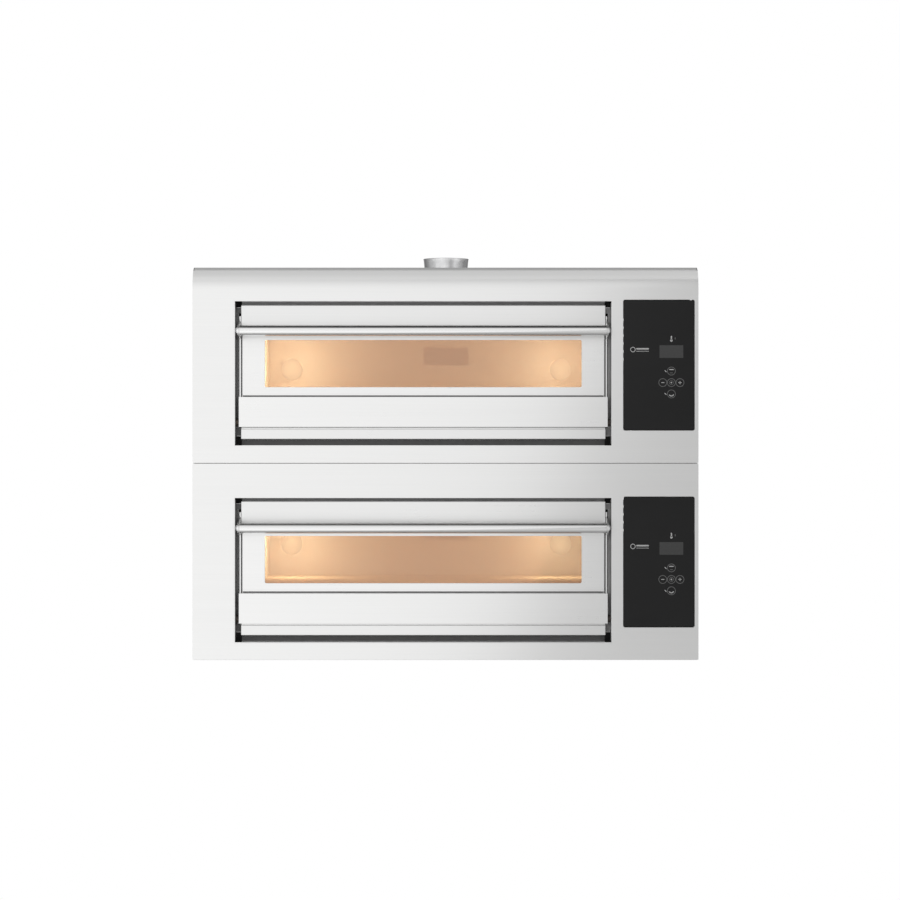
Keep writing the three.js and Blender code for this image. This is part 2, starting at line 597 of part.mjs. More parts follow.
function bakingBay(deck) {
  const group = new THREE.Group();
  group.position.x = BAY_X;
  group.add(
    mesh(`${deck}_lintel_panel`, lintelPanel(), STAINLESS),
    mesh(`${deck}_kick_panel`, kickPanel(), STAINLESS),
    mesh(`${deck}_chamber`, chamber(), LINER_STEEL),
    mesh(`${deck}_stone_left`, stone(-1), REFRACTORY),
    mesh(`${deck}_stone_right`, stone(1), REFRACTORY),
    mesh(`${deck}_top_element`, heatingElement(ELEMENT.topZ), ELEMENT_STEEL),
    mesh(`${deck}_bottom_element`, heatingElement(ELEMENT.bottomZ), ELEMENT_STEEL),
    mesh(`${deck}_lamp_left`, lamp(-1), LAMP_GLASS),
    mesh(`${deck}_lamp_right`, lamp(1), LAMP_GLASS),
    mesh(`${deck}_hinge_pin_left`, hingePin(-1), POLISHED),
    mesh(`${deck}_hinge_pin_right`, hingePin(1), POLISHED),
    door(deck),
  );
  return group;
}

function ovenDeck(deck, isTop) {
  const group = new THREE.Group();
  group.position.z = isTop ? CASE.deckHeight : 0;
  group.add(
    mesh(`${deck}_fascia`, fascia(isTop), STAINLESS),
    mesh(`${deck}_side_panel_left`, sidePanel(-1, isTop), STAINLESS),
    mesh(`${deck}_side_panel_right`, sidePanel(1, isTop), STAINLESS),
    mesh(`${deck}_rear_panel`, rearPanel(isTop), STAINLESS),
    mesh(`${deck}_base_tray`, baseTray(isTop), STAINLESS),
    mesh(`${deck}_insulation`, insulation(), MINERAL_WOOL),
    mesh(`${deck}_control_glass`, controlGlass(), BLACK_GLASS),
    mesh(`${deck}_control_board`, controlBoard(), BOARD),
    bakingBay(deck),
  );
  return group;
}

const oven = new THREE.Group();
oven.position.y = FRONT_Y;
oven.add(
  ovenDeck("lower", false),
  ovenDeck("upper", true),
  mesh("roof_panel", roofPanel(), STAINLESS),
  mesh("flue_collar", flueCollar(), POLISHED),
  mesh("exhaust_duct", exhaustDuct(), LINER_STEEL),
  mesh("cable_gland", cableGland(), POLYAMIDE),
);

export default oven;
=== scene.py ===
"""Looks of a double-deck countertop pizza oven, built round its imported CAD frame.

Metres, +Z up, X to the right seen from the front, Y from the doors to the back.
"""
import json
import math

import bmesh
import bpy
from mathutils import Matrix, Vector


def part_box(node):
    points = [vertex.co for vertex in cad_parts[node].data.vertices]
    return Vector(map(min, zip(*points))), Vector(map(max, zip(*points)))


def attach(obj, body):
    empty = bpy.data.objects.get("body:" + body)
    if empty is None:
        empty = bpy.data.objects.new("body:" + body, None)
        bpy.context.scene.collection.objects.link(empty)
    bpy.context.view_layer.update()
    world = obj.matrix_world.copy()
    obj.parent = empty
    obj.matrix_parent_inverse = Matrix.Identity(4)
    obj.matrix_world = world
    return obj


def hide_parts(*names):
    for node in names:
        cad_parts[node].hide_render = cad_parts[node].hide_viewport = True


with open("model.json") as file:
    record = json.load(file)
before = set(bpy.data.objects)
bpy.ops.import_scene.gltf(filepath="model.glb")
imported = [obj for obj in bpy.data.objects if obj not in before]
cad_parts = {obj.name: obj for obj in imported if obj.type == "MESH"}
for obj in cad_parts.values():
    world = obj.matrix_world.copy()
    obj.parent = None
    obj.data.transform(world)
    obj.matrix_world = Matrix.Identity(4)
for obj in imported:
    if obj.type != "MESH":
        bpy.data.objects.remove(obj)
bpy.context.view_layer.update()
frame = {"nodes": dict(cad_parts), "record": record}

MM = 0.001
TAU = 2 * math.pi
CASING = "casing"
DECKS = ("lower", "upper")

# ---- where things are, from the frame ------------------------------------------------------

FRONT_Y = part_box("lower_fascia")[0].y
BACK_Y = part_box("lower_rear_panel")[1].y
SIDE_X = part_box("lower_fascia")[1].x
DECK_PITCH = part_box("upper_stone_left")[0].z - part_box("lower_stone_left")[0].z
ROOF_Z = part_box("roof_panel")[1].z
STONE_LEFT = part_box("lower_stone_left")
STONE_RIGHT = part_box("lower_stone_right")
BAY_X = (STONE_LEFT[0].x + STONE_RIGHT[1].x) / 2


def deck_floor(deck):
    return DECK_PITCH if deck == "upper" else 0.0


def at(deck, x, depth, z):
    """A point given in millimetres: x from the object's middle, depth behind the facade."""
    return Vector((x * MM, FRONT_Y + depth * MM, deck_floor(deck) + z * MM))


def in_bay(deck, x, depth, z):
    """The same, with x from the middle of the baking bay."""
    return at(deck, x, depth, z) + Vector((BAY_X, 0, 0))


# ---- materials -----------------------------------------------------------------------------

MIX_FACTOR, MIX_FIRST, MIX_SECOND, MIX_RESULT = 0, 6, 7, 2  # a colour Mix node's sockets


class Tree:
    """A node tree with short ways to add to it."""

    def __init__(self, tree):
        self.tree = tree

    def add(self, kind, **values):
        node = self.tree.nodes.new(kind)
        for key, value in values.items():
            setattr(node, key, value)
        return node

    def link(self, source, target):
        self.tree.links.new(source, target)

    def ramp(self, source, stops, interpolation="LINEAR"):
        node = self.add("ShaderNodeValToRGB")
        node.color_ramp.interpolation = interpolation
        elements = node.color_ramp.elements
        while len(elements) < len(stops):
            elements.new(0.5)
        for element, (place, color) in zip(elements, stops):
            element.position = place
            element.color = (*color, 1.0)
        self.link(source, node.inputs["Fac"])
        return node.outputs["Color"]

    def spread(self, source, low, high, source_low=0.0):
        """Maps a value that runs from source_low to 1 onto the range from low to high."""
        node = self.add("ShaderNodeMapRange")
        node.inputs["From Min"].default_value = source_low
        node.inputs["To Min"].default_value = low
        node.inputs["To Max"].default_value = high
        self.link(source, node.inputs["Value"])
        return node.outputs["Result"]

    def mixed(self, factor, first, second, blend="MIX"):
        node = self.add("ShaderNodeMix", data_type="RGBA", blend_type=blend)
        for value, target in ((factor, MIX_FACTOR), (first, MIX_FIRST), (second, MIX_SECOND)):
            if isinstance(value, (float, int)):
                node.inputs[target].default_value = value
            elif isinstance(value, tuple):
                node.inputs[target].default_value = (*value, 1.0)
            else:
                self.link(value, node.inputs[target])
        return node.outputs[MIX_RESULT]

    def finish_two_ways(self, to_pieces, to_camera, output):
        """Ends the tree with one shader for the light on the pieces and another for the camera."""
        choose = self.add("ShaderNodeMixShader")
        self.link(self.add("ShaderNodeLightPath").outputs["Is Camera Ray"], choose.inputs[0])
        self.link(to_pieces.outputs[0], choose.inputs[1])
        self.link(to_camera.outputs[0], choose.inputs[2])
        self.link(choose.outputs[0], self.add(output).inputs["Surface"])


class Nodes(Tree):
    """A new material's tree, with its shader and the object's own coordinates."""

    def __init__(self, name):
        self.material = bpy.data.materials.new(name)
        self.material.use_nodes = True
        super().__init__(self.material.node_tree)
        self.shader = self.tree.nodes["Principled BSDF"]
        self.coordinates = self.add("ShaderNodeTexCoord").outputs["Object"]

    def stretched(self, scale):
        mapping = self.add("ShaderNodeMapping")
        mapping.inputs["Scale"].default_value = scale
        self.link(self.coordinates, mapping.inputs["Vector"])
        return mapping.outputs["Vector"]

    def noise(self, vector, scale, detail=3.0, rough=0.5):
        node = self.add("ShaderNodeTexNoise")
        node.inputs["Scale"].default_value = scale
        node.inputs["Detail"].default_value = detail
        node.inputs["Roughness"].default_value = rough
        self.link(vector, node.inputs["Vector"])
        return node.outputs["Fac"]

    def color(self, source):
        self.link(source, self.shader.inputs["Base Color"])

    def roughness(self, source):
        self.link(source, self.shader.inputs["Roughness"])

    def bump(self, height, distance):
        node = self.add("ShaderNodeBump")
        node.inputs["Distance"].default_value = distance
        self.link(height, node.inputs["Height"])
        self.link(node.outputs["Normal"], self.shader.inputs["Normal"])

    def set(self, **values):
        for key, value in values.items():
            self.shader.inputs[key.replace("_", " ")].default_value = value


def shaded(tone, factor):
    return tuple(min(1.0, c * factor) for c in tone)


def brushed_steel(name, tone, roughness, streak=0.022):
    """Stainless sheet with its grain along X, faint mill bands and soft handling marks."""
    n = Nodes(name)
    fine = n.noise(n.stretched((3, 700, 700)), 1.0, detail=4.0, rough=0.6)
    broad = n.noise(n.stretched((0.4, 40, 40)), 1.0, detail=2.0)
    marks = n.noise(n.coordinates, 9.0, detail=5.0, rough=0.65)
    dark, light = shaded(tone, 1 - streak), shaded(tone, 1 + streak * 0.5)
    streaks = n.ramp(fine, [(0.3, dark), (0.7, light)])
    n.color(n.mixed(0.25, streaks, n.ramp(broad, [(0.35, dark), (0.65, light)])))
    rough = n.add("ShaderNodeMath", operation="ADD")
    n.link(n.spread(fine, roughness - 0.015, roughness + 0.015), rough.inputs[0])
    n.link(n.spread(marks, -0.015, 0.02), rough.inputs[1])
    n.roughness(rough.outputs[0])
    n.set(Metallic=1.0)
    n.bump(fine, 0.0000022)
    return n.material


def polished_steel(name, tone, roughness):
    """Turned and polished stainless, with fine tool rings and small stains."""
    n = Nodes(name)
    rings = n.noise(n.stretched((900, 60, 60)), 1.0, detail=3.0)
    stains = n.noise(n.coordinates, 60.0, detail=4.0)
    n.color(n.ramp(stains, [(0.35, shaded(tone, 0.9)), (0.6, tone)]))
    n.roughness(n.spread(rings, roughness - 0.03, roughness + 0.05))
    n.set(Metallic=1.0)
    n.bump(rings, 0.000003)
    return n.material


def oven_steel(name, tone, tint):
    """Aluminised steel that heat has stained straw and brown."""
    n = Nodes(name)
    stain = n.noise(n.coordinates, 5.0, detail=6.0, rough=0.6)
    spangle = n.add("ShaderNodeTexVoronoi")
    spangle.inputs["Scale"].default_value = 90.0
    n.link(n.coordinates, spangle.inputs["Vector"])
    flakes = n.ramp(spangle.outputs["Distance"], [(0.0, shaded(tone, 0.93)), (0.6, tone)])
    n.color(n.mixed(n.spread(stain, 0.0, 0.8), flakes, tint))
    n.roughness(n.spread(stain, 0.42, 0.62))
    n.set(Metallic=0.4)
    n.bump(stain, 0.00005)
    return n.material


def baking_stone(name):
    """Cordierite slab: sandy, pitted, with flour dust and browned patches."""
    n = Nodes(name)
    grit = n.noise(n.coordinates, 900.0, detail=4.0, rough=0.7)
    patches = n.noise(n.coordinates, 6.0, detail=5.0, rough=0.6)
    dust = n.noise(n.coordinates, 26.0, detail=6.0, rough=0.7)
    sand = n.ramp(grit, [(0.3, (0.24, 0.18, 0.12)), (0.55, (0.35, 0.27, 0.18)), (0.75, (0.44, 0.36, 0.26))])
    baked = n.mixed(n.ramp(patches, [(0.45, (0, 0, 0)), (0.7, (0.55, 0.55, 0.55))]), sand,
                    (0.15, 0.10, 0.06))
    dusted = n.mixed(n.ramp(dust, [(0.55, (0, 0, 0)), (0.8, (0.35, 0.35, 0.35))]), baked,
                     (0.60, 0.55, 0.48))
    n.color(dusted)
    n.set(Roughness=0.92, Specular_IOR_Level=0.25)
    n.bump(grit, 0.0004)
    return n.material


def mineral_wool(name):
    """Yellowish fibre mat, tufted and felted in layers."""
    n = Nodes(name)
    fibres = n.noise(n.stretched((60, 60, 900)), 1.0, detail=6.0, rough=0.75)
    tufts = n.noise(n.coordinates, 35.0, detail=5.0, rough=0.7)
    tone = n.ramp(fibres, [(0.3, (0.34, 0.29, 0.13)), (0.7, (0.66, 0.60, 0.36))])
    n.color(n.mixed(n.spread(tufts, 0.0, 0.4), tone, (0.75, 0.70, 0.48)))
    n.set(Roughness=1.0, Specular_IOR_Level=0.1, Sheen_Weight=0.3)
    n.bump(tufts, 0.002)
    return n.material


def oxidised(name):
    """Sheath of a heating element after many firings."""
    n = Nodes(name)
    scale = n.noise(n.coordinates, 120.0, detail=5.0, rough=0.65)
    n.color(n.ramp(scale, [(0.35, (0.055, 0.05, 0.048)), (0.6, (0.12, 0.10, 0.085)),
                           (0.75, (0.20, 0.15, 0.11))]))
    n.roughness(n.spread(scale, 0.5, 0.75))
    n.set(Metallic=0.6)
    n.bump(scale, 0.0001)
    return n.material


def coated_glass(name, tone, alpha, roughness, metallic):
    """Heat-reflecting glass: a thin mirror coat seen with what lies behind it."""
    n = Nodes(name)
    wipe = n.noise(n.stretched((4, 4, 14)), 1.0, detail=5.0, rough=0.6)
    n.color(n.ramp(wipe, [(0.35, shaded(tone, 0.97)), (0.65, tone)]))
    n.roughness(n.spread(wipe, roughness * 0.8, roughness * 1.3))
    n.set(Metallic=metallic, Alpha=alpha, IOR=1.5)
    return n.material


def black_panel(name):
    """Back-printed control glass with a fine non-glare front."""
    n = Nodes(name)
    etch = n.noise(n.coordinates, 1500.0, detail=2.0)
    smear = n.noise(n.stretched((10, 10, 22)), 1.0, detail=5.0, rough=0.65)
    n.color(n.ramp(smear, [(0.3, (0.0035, 0.0035, 0.0037)), (0.75, (0.0055, 0.0055, 0.0057))]))
    n.roughness(n.spread(smear, 0.26, 0.36))
    n.set(IOR=1.40)
    n.bump(etch, 0.000004)
    return n.material


def printed(name, grey, glow=0.0):
    """Ink on the control glass; glow gives the ink a faint painted light of its own."""
    n = Nodes(name)
    tone = (grey, grey, grey)
    grain = n.noise(n.coordinates, 2500.0, detail=2.0)
    n.color(n.ramp(grain, [(0.3, shaded(tone, 0.92)), (0.7, tone)]))
    n.set(Roughness=0.45)
    if glow:
        n.set(Emission_Color=(*tone, 1.0), Emission_Strength=glow)
    return n.material


def moulded(name, tone):
    """Nylon with a spark-eroded texture and lighter rubbed spots."""
    n = Nodes(name)
    grain = n.noise(n.coordinates, 1400.0, detail=3.0)
    rub = n.noise(n.coordinates, 40.0, detail=4.0)
    n.color(n.ramp(rub, [(0.4, tone), (0.75, tuple(c * 1.6 + 0.004 for c in tone))]))
    n.roughness(n.spread(grain, 0.47, 0.65))
    n.bump(grain, 0.00003)
    return n.material


def painted_shade_look(name, grey, roughness=0.6):
    """Even grey for strips and plates of painted shade, faintly mottled and a little dusty."""
    n = Nodes(name)
    tone = (grey, grey, grey)
    mottle = n.noise(n.coordinates, 70.0, detail=4.0)
    n.color(n.ramp(mottle, [(0.35, shaded(tone, 0.92)), (0.7, shaded(tone, 1.08))]))
    n.roughness(n.spread(mottle, roughness - 0.05, roughness + 0.08))
    n.bump(n.noise(n.coordinates, 600.0, detail=2.0), 0.00001)
    return n.material


def lamp_glass(name):
    """Frosted dome, lit from within."""
    n = Nodes(name)
    frost = n.noise(n.coordinates, 300.0, detail=3.0)
    n.color(n.ramp(frost, [(0.3, (0.10, 0.085, 0.06)), (0.7, (0.13, 0.11, 0.08))]))
    n.set(Roughness=0.6, Emission_Color=(1.0, 0.79, 0.49, 1.0), Emission_Strength=0.88)
    return n.material


def laminate(name):
    """Green circuit board with paler tracks."""
    n = Nodes(name)
    tracks = n.add("ShaderNodeTexBrick")
    tracks.inputs["Scale"].default_value = 60.0
    tracks.inputs["Color1"].default_value = (0.02, 0.16, 0.06, 1)
    tracks.inputs["Color2"].default_value = (0.02, 0.12, 0.05, 1)
    tracks.inputs["Mortar"].default_value = (0.10, 0.28, 0.12, 1)
    n.link(n.coordinates, tracks.inputs["Vector"])
    n.color(tracks.outputs["Color"])
    n.roughness(n.spread(n.noise(n.coordinates, 200.0), 0.35, 0.5))
    return n.material


STEEL = (0.86, 0.86, 0.855)
MATERIALS = {
    "casing_steel": brushed_steel("casing_steel", STEEL, 0.30),
    "trim_steel": brushed_steel("trim_steel", (0.84, 0.84, 0.835), 0.28),
    "door_steel": brushed_steel("door_steel", (0.88, 0.88, 0.875), 0.28),
    "handle_steel": brushed_steel("handle_steel", STEEL, 0.15, streak=0.03),
    "polished_steel": polished_steel("polished_steel", (0.82, 0.82, 0.83), 0.16),
    "chamber_steel": oven_steel("chamber_steel", (0.45, 0.435, 0.405), (0.36, 0.285, 0.20)),
    "baking_stone": baking_stone("baking_stone"),
    "element_sheath": oxidised("element_sheath"),
    "mineral_wool": mineral_wool("mineral_wool"),
    "control_glass": black_panel("control_glass"),
    "circuit_board": laminate("circuit_board"),
    "bronze_glass": coated_glass("bronze_glass", (0.90, 0.53, 0.33), 0.36, 0.10, 1.0),
    "clear_glass": coated_glass("clear_glass", (0.80, 0.86, 0.84), 0.14, 0.05, 0.0),
    "lamp_glass": lamp_glass("lamp_glass"),
    "spring_steel": polished_steel("spring_steel", (0.40, 0.41, 0.43), 0.32),
    "gland_plastic": moulded("gland_plastic", (0.018, 0.018, 0.02)),
}
# The white ink carries a faint painted glow.
PRINT_WHITE = printed("print_white", 0.62, glow=0.02)
PRINT_GREY = printed("print_grey", 0.16)
DISPLAY_GREY = printed("display_window", 0.060)
# Painted shade: dark strips, liners and a near-black plate stand where the opening's recess and the door's
# joints fall into shade; the darker, mid and paler greys are shaded and lit copies of one look, set by how
# much light reaches each place.
PAINTED_SHADE_DARK = painted_shade_look("dark_painted_shade", 0.095)
PAINTED_SHADE_MID = painted_shade_look("mid_painted_shade", 0.20)
PAINTED_SHADE_PALE = painted_shade_look("pale_painted_shade", 0.36)
PAINTED_SHADE_BLACK = painted_shade_look("black_painted_shade", 0.012, 0.42)

# ---- making pieces -------------------------------------------------------------------------

SHARP = math.radians(32)
AXIS = 0.02  # radius in millimetres at which a turned solid's end face closes

def piece(name, verts, faces, body, slot, material=None, smooth=True, bevel=0.0, segments=2):
    """A closed mesh that rides on a body and takes its finish from one of the record's slots."""
    mesh = bpy.data.meshes.new(name)
    mesh.from_pydata([tuple(v) for v in verts], [], [tuple(f) for f in faces])
    work = bmesh.new()
    work.from_mesh(mesh)
    bmesh.ops.remove_doubles(work, verts=work.verts, dist=1e-7)
    bmesh.ops.recalc_face_normals(work, faces=work.faces)
    work.to_mesh(mesh)
    work.free()
    obj = bpy.data.objects.new(name, mesh)
    bpy.context.scene.collection.objects.link(obj)
    mesh.materials.append(material or MATERIALS[slot])
    dress(obj, smooth, bevel, segments)
    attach(obj, body)
    return obj


def dress(obj, smooth, bevel, segments):
    """Rounds an object's sharp edges and smooths the rest."""
    for face in obj.data.polygons:
        face.use_smooth = smooth
    if bevel:
        rounding = obj.modifiers.new("edges", "BEVEL")
        rounding.width = bevel
        rounding.segments = segments
        rounding.limit_method = "ANGLE"
        rounding.angle_limit = SHARP
        rounding.harden_normals = True
    elif smooth:
        mark_sharp(obj.data)


def mark_sharp(mesh):
    """Marks a mesh's sharp edges, so that smooth shading stops there."""
    work = bmesh.new()
    work.from_mesh(mesh)
    for edge in work.edges:
        if len(edge.link_faces) == 2 and edge.calc_face_angle(0.0) > SHARP:
            edge.smooth = False
    work.to_mesh(mesh)
    work.free()


def finish_node(name, slot, bevel, segments):
    """Gives a CAD node its procedural material and soft sheet-metal edges."""
    obj = frame["nodes"][name]
    mesh = obj.data
    mesh.materials.clear()
    mesh.materials.append(MATERIALS[slot])
    if "custom_normal" in mesh.attributes:
        mesh.attributes.remove(mesh.attributes["custom_normal"])
    weld = obj.modifiers.new("weld", "WELD")
    weld.merge_threshold = 2e-6
    flatten = obj.modifiers.new("flatten", "DECIMATE")
    flatten.decimate_type = "DISSOLVE"
    flatten.angle_limit = math.radians(0.6)
    dress(obj, True, bevel, segments)


def axis_matrix(axis, centre):
    """Takes a solid of revolution's own axis, local +Z, to the direction given."""
    turn = Vector((0, 0, 1)).rotation_difference(Vector(axis)).to_matrix().to_4x4()
    return Matrix.Translation(centre) @ turn


def lathe_data(profile, segments=32, lobes=None):
    """Vertices and side faces of a solid of revolution; lobes scales the radius by the angle."""
    verts, faces = [], []
    for radius, height in profile:
        for i in range(segments):
            angle = TAU * i / segments
            r = radius * (lobes(angle, radius) if lobes else 1.0)
            verts.append(Vector((r * math.cos(angle), r * math.sin(angle), height)))
    for j in range(len(profile) - 1):
        for i in range(segments):
            k = (i + 1) % segments
            faces.append((j * segments + i, j * segments + k, (j + 1) * segments + k, (j + 1) * segments + i))
    return verts, faces


def lathe(name, profile, axis, centre, body, slot, segments=32, ring=False, **look):
    """Solid of revolution from (radius, height) pairs in millimetres; ring closes the profile."""
    profile = [(r * MM, h * MM) for r, h in profile]
    if ring:
        profile = profile + profile[:1]
    verts, faces = lathe_data(profile, segments)
    if not ring:
        last = (len(profile) - 1) * segments
        faces.append(tuple(reversed(range(segments))))
        faces.append(tuple(range(last, last + segments)))
    place = axis_matrix(axis, centre)
    return piece(name, [place @ v for v in verts], faces, body, slot, **look)


def tube(name, points, radius, body, slot, sides):
    """A round rod along points, with flat ends."""
    count = len(points)
    verts, faces = [], []
    normal = None
    for i, point in enumerate(points):
        ahead = points[min(i + 1, count - 1)]
        behind = points[max(i - 1, 0)]
        tangent = (ahead - behind).normalized()
        if normal is None:
            normal = tangent.orthogonal().normalized()
        normal = (normal - tangent * normal.dot(tangent)).normalized()
        other = tangent.cross(normal)
        for s in range(sides):
            angle = TAU * s / sides
            verts.append(point + (normal * math.cos(angle) + other * math.sin(angle)) * radius)
    for i in range(count - 1):
        j = i + 1
        for s in range(sides):
            t = (s + 1) % sides
            faces.append((i * sides + s, i * sides + t, j * sides + t, j * sides + s))
    faces.append(tuple(reversed(range(sides))))
    faces.append(tuple(range((count - 1) * sides, count * sides)))
    return piece(name, verts, faces, body, slot)


class Batch:
    """Gathers many small solids into one mesh."""

    def __init__(self):
        self.verts, self.faces = [], []

    def add(self, verts, faces):
        start = len(self.verts)
        self.verts += verts
        self.faces += [tuple(start + i for i in face) for face in faces]

    def prism(self, outline, origin, u, v, normal, thickness):
        """Extrudes a flat outline, given in metres along u and v, by a thickness along normal."""
        near = [origin + u * a + v * b for a, b in outline]
        far = [p + normal * thickness for p in near]
        count = len(outline)
        faces = [tuple(range(count)), tuple(reversed(range(count, 2 * count)))]
        faces += [(i, count + i, count + (i + 1) % count, (i + 1) % count) for i in range(count)]
        self.add(near + far, faces)

    def band(self, outer, inner, origin, u, v, normal, thickness):
        """A flat ring between two outlines of equal count."""
        count = len(outer)
        loops = [[origin + u * a + v * b + normal * h for a, b in loop]
                 for h in (0.0, thickness) for loop in (outer, inner)]
        faces = []
        for i in range(count):
            k = (i + 1) % count
            o0, i0, o1, i1 = i, count + i, 2 * count + i, 3 * count + i
            p0, q0, p1, q1 = k, count + k, 2 * count + k, 3 * count + k
            faces += [(o0, p0, q0, i0), (o1, i1, q1, p1), (o0, o1, p1, p0), (i0, q0, q1, i1)]
        self.add([p for loop in loops for p in loop], faces)

    def done(self, name, body, slot, **look):
        return piece(name, self.verts, self.faces, body, slot, **look)


def circle(radius, steps, start=0.0, sweep=TAU):
    """Outline of a circle or, with less than a whole sweep, of an arc."""
    angles = [start + sweep * i / steps for i in range(steps)]
    return [(radius * math.cos(angle), radius * math.sin(angle)) for angle in angles]


def rounded(width, height, radius, steps, rise=0.0):
    """Outline of a rectangle with round corners; rise lifts its middle."""
    points = []
    for side, end, start in ((1, 1, 0), (-1, 1, 1), (-1, -1, 2), (1, -1, 3)):
        x, y = side * (width / 2 - radius), rise + end * (height / 2 - radius)
        for i in range(steps + 1):
            angle = (start + i / steps) * math.pi / 2
            points.append((x + radius * math.cos(angle), y + radius * math.sin(angle)))
    return points


def dome_profile(radius, height, shank=0.0):
    """Domed screw head with a socket sunk in its crown, in millimetres."""
    socket = radius * 0.42
    steps = 7
    arc = []
    for i in range(steps + 1):
        angle = math.pi / 2 * i / steps
        arc.append((radius * math.cos(angle) ** 0.8, height * math.sin(angle)))
    crown = [(r, h) for r, h in arc if r > socket]
    edge = crown[-1][1] + (height - crown[-1][1]) * 0.5
    return [(AXIS, -shank), (radius * 0.6, -shank), (radius, 0.0), *crown[1:], (socket, edge),
            (socket * 0.94, height * 0.35), (AXIS, height * 0.3)]


def screw(name, centre, axis, body, radius=4.0, height=2.0, segments=24):
    """Domed screw or rivet whose shank enters its plate by 0.4 mm."""
    return lathe(name, dome_profile(radius, height, 0.4), axis, centre, body, "polished_steel",
                 segments=segments)


# ---- CAD nodes that keep their shape --------------------------------------------------------

SLOT_OF = {row["node"]: row["material_slot"] for row in frame["record"]["subparts"]}
REBUILT = ("handle_tube", "door_spring_left", "door_spring_right", "hinge_pin_left", "hinge_pin_right",
           "top_element", "bottom_element", "lamp_left", "lamp_right", "control_glass")
REBUILT_NODES = {f"{deck}_{part}" for deck in DECKS for part in REBUILT} | {"flue_collar", "cable_gland"}
BEVELS = {"baking_stone": 0.0018, "mineral_wool": 0.006, "bronze_glass": 0.0006, "clear_glass": 0.0006,
          "circuit_board": 0.0005}

for node, slot in SLOT_OF.items():
    if node not in REBUILT_NODES:
        finish_node(node, slot, BEVELS.get(slot, 0.00045), 3 if slot == "baking_stone" else 2)

# ---- one deck's rebuilt and added pieces ----------------------------------------------------

X = Vector((1, 0, 0))
Y = Vector((0, 1, 0))
Z = Vector((0, 0, 1))

SIDES = ((-1, "left"), (1, "right"))

# Driving sizes in millimetres: x from the bay's middle, depth behind the facade, z above a deck's floor.
HANDLE = {"depth": -23.0, "z": 261.5, "radius": 10.5, "wall": 1.5, "half": 361.7, "cheek": 365.0}
HINGE = {"depth": 18.5, "z": 81.0}
SPRING = {"turns": 13, "wire": 0.95, "inside": 4.9, "near": 331.0, "far": 359.5}
ELEMENT = {"first": 140.0, "pitch": 150.0, "turn": 250.0, "end": 378.0, "radius": 4.0, "runs": 4}
ELEMENT_Z = {"top": 283.0, "bottom": 100.0}
CHAMBER_WALL = 349.6
LAMP = {"x": 300.0, "depth": 766.7, "z": 205.0, "body": 20.0, "dome": 24.0}
GLOW = {"x": 282.0, "depth": 635.0, "z": 215.0}
PROBE = {"depth": 420.0, "z": 265.0}
MOUTH = {"depth": 61.4, "z": 196.2, "width": 704.0, "height": 135.0}
MOUTH_PLATE = {"depth": 61.2, "z": 181.0, "width": 760.0, "height": 300.0}
WINDOW = {"depth": 26.75, "z": 197.5, "width": 630.0, "height": 95.2}
OPENING_SIDE = 371.4
PANEL = {"middle": 446.5, "keys_z": 159.2, "pitch": 17.0, "ring": 8.5, "ink": 0.08, "display_z": 220.5}
DECK_DEPTH = 900.0


def handle(deck, body):
    """Tube between the cheek plates, its end plugs and the screws that hold it."""
    half, outer = HANDLE["half"], HANDLE["radius"]
    bore = outer - HANDLE["wall"]
    rim = 0.5
    profile = [(bore, -half + rim), (bore + rim, -half), (outer - rim, -half), (outer, -half + rim),
               (outer, half - rim), (outer - rim, half), (bore + rim, half), (bore, half - rim)]
    plug_profile = [(AXIS, -9.0), (bore - 0.1, -9.0), (bore - 0.1, -0.5), (bore - 0.6, 0.0), (AXIS, 0.0)]

    def along(x):
        return in_bay(deck, x, HANDLE["depth"], HANDLE["z"])

    bar = lathe(f"{deck}_handle_bar", profile, X, along(0), body, "handle_steel", segments=64, ring=True)
    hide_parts(f"{deck}_handle_tube")
    for side, label in SIDES:
        lathe(f"{deck}_handle_screw_{label}", dome_profile(5.75, 4.2, 0.0), X * side,
              along(side * HANDLE["cheek"]), body, "polished_steel", segments=32)
        lathe(f"{deck}_handle_plug_{label}", plug_profile, X * side, along(side * (half - 0.4)), body,
              "gland_plastic", segments=32)


def hinge(deck, body):
    """Shouldered pins in the casing, and the counterbalance springs round them on the door."""
    centre = in_bay(deck, 0, HINGE["depth"], HINGE["z"])
    pin_profile = [(AXIS, 325.0), (3.4, 325.0), (4.0, 325.6), (4.0, 365.3), (6.6, 365.3), (7.0, 365.7),
                   (7.0, 371.7), (4.0, 371.7), (4.0, 373.8), (6.5, 373.8), (7.0, 374.4), (7.0, 378.4),
                   (6.5, 379.0), (4.0, 379.0), (4.0, 381.6), (3.5, 382.0), (AXIS, 382.0)]
    wire, turns = SPRING["wire"], SPRING["turns"]
    steps = turns * 18
    for side, label in SIDES:
        # Painted shade: the pins take the dark oxidised sheath finish so that they stay dark in the opening's
        # lower corners.
        pin = lathe(f"{deck}_hinge_pivot_{label}", pin_profile, X * side, centre, CASING, "polished_steel",
                    segments=36, material=MATERIALS["element_sheath"])
        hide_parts(f"{deck}_hinge_pin_{label}")
        points = []
        for i in range(steps + 1):
            angle = TAU * turns * i / steps
            along = SPRING["near"] + (SPRING["far"] - SPRING["near"]) * i / steps
            radial = (Y * math.cos(angle) + Z * math.sin(angle)) * (SPRING["inside"] + wire)
            points.append(centre + (X * side * along + radial) * MM)
        coil = tube(f"{deck}_spring_coil_{label}", points, wire * MM, body, "spring_steel", 8)
        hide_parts(f"{deck}_door_spring_{label}")


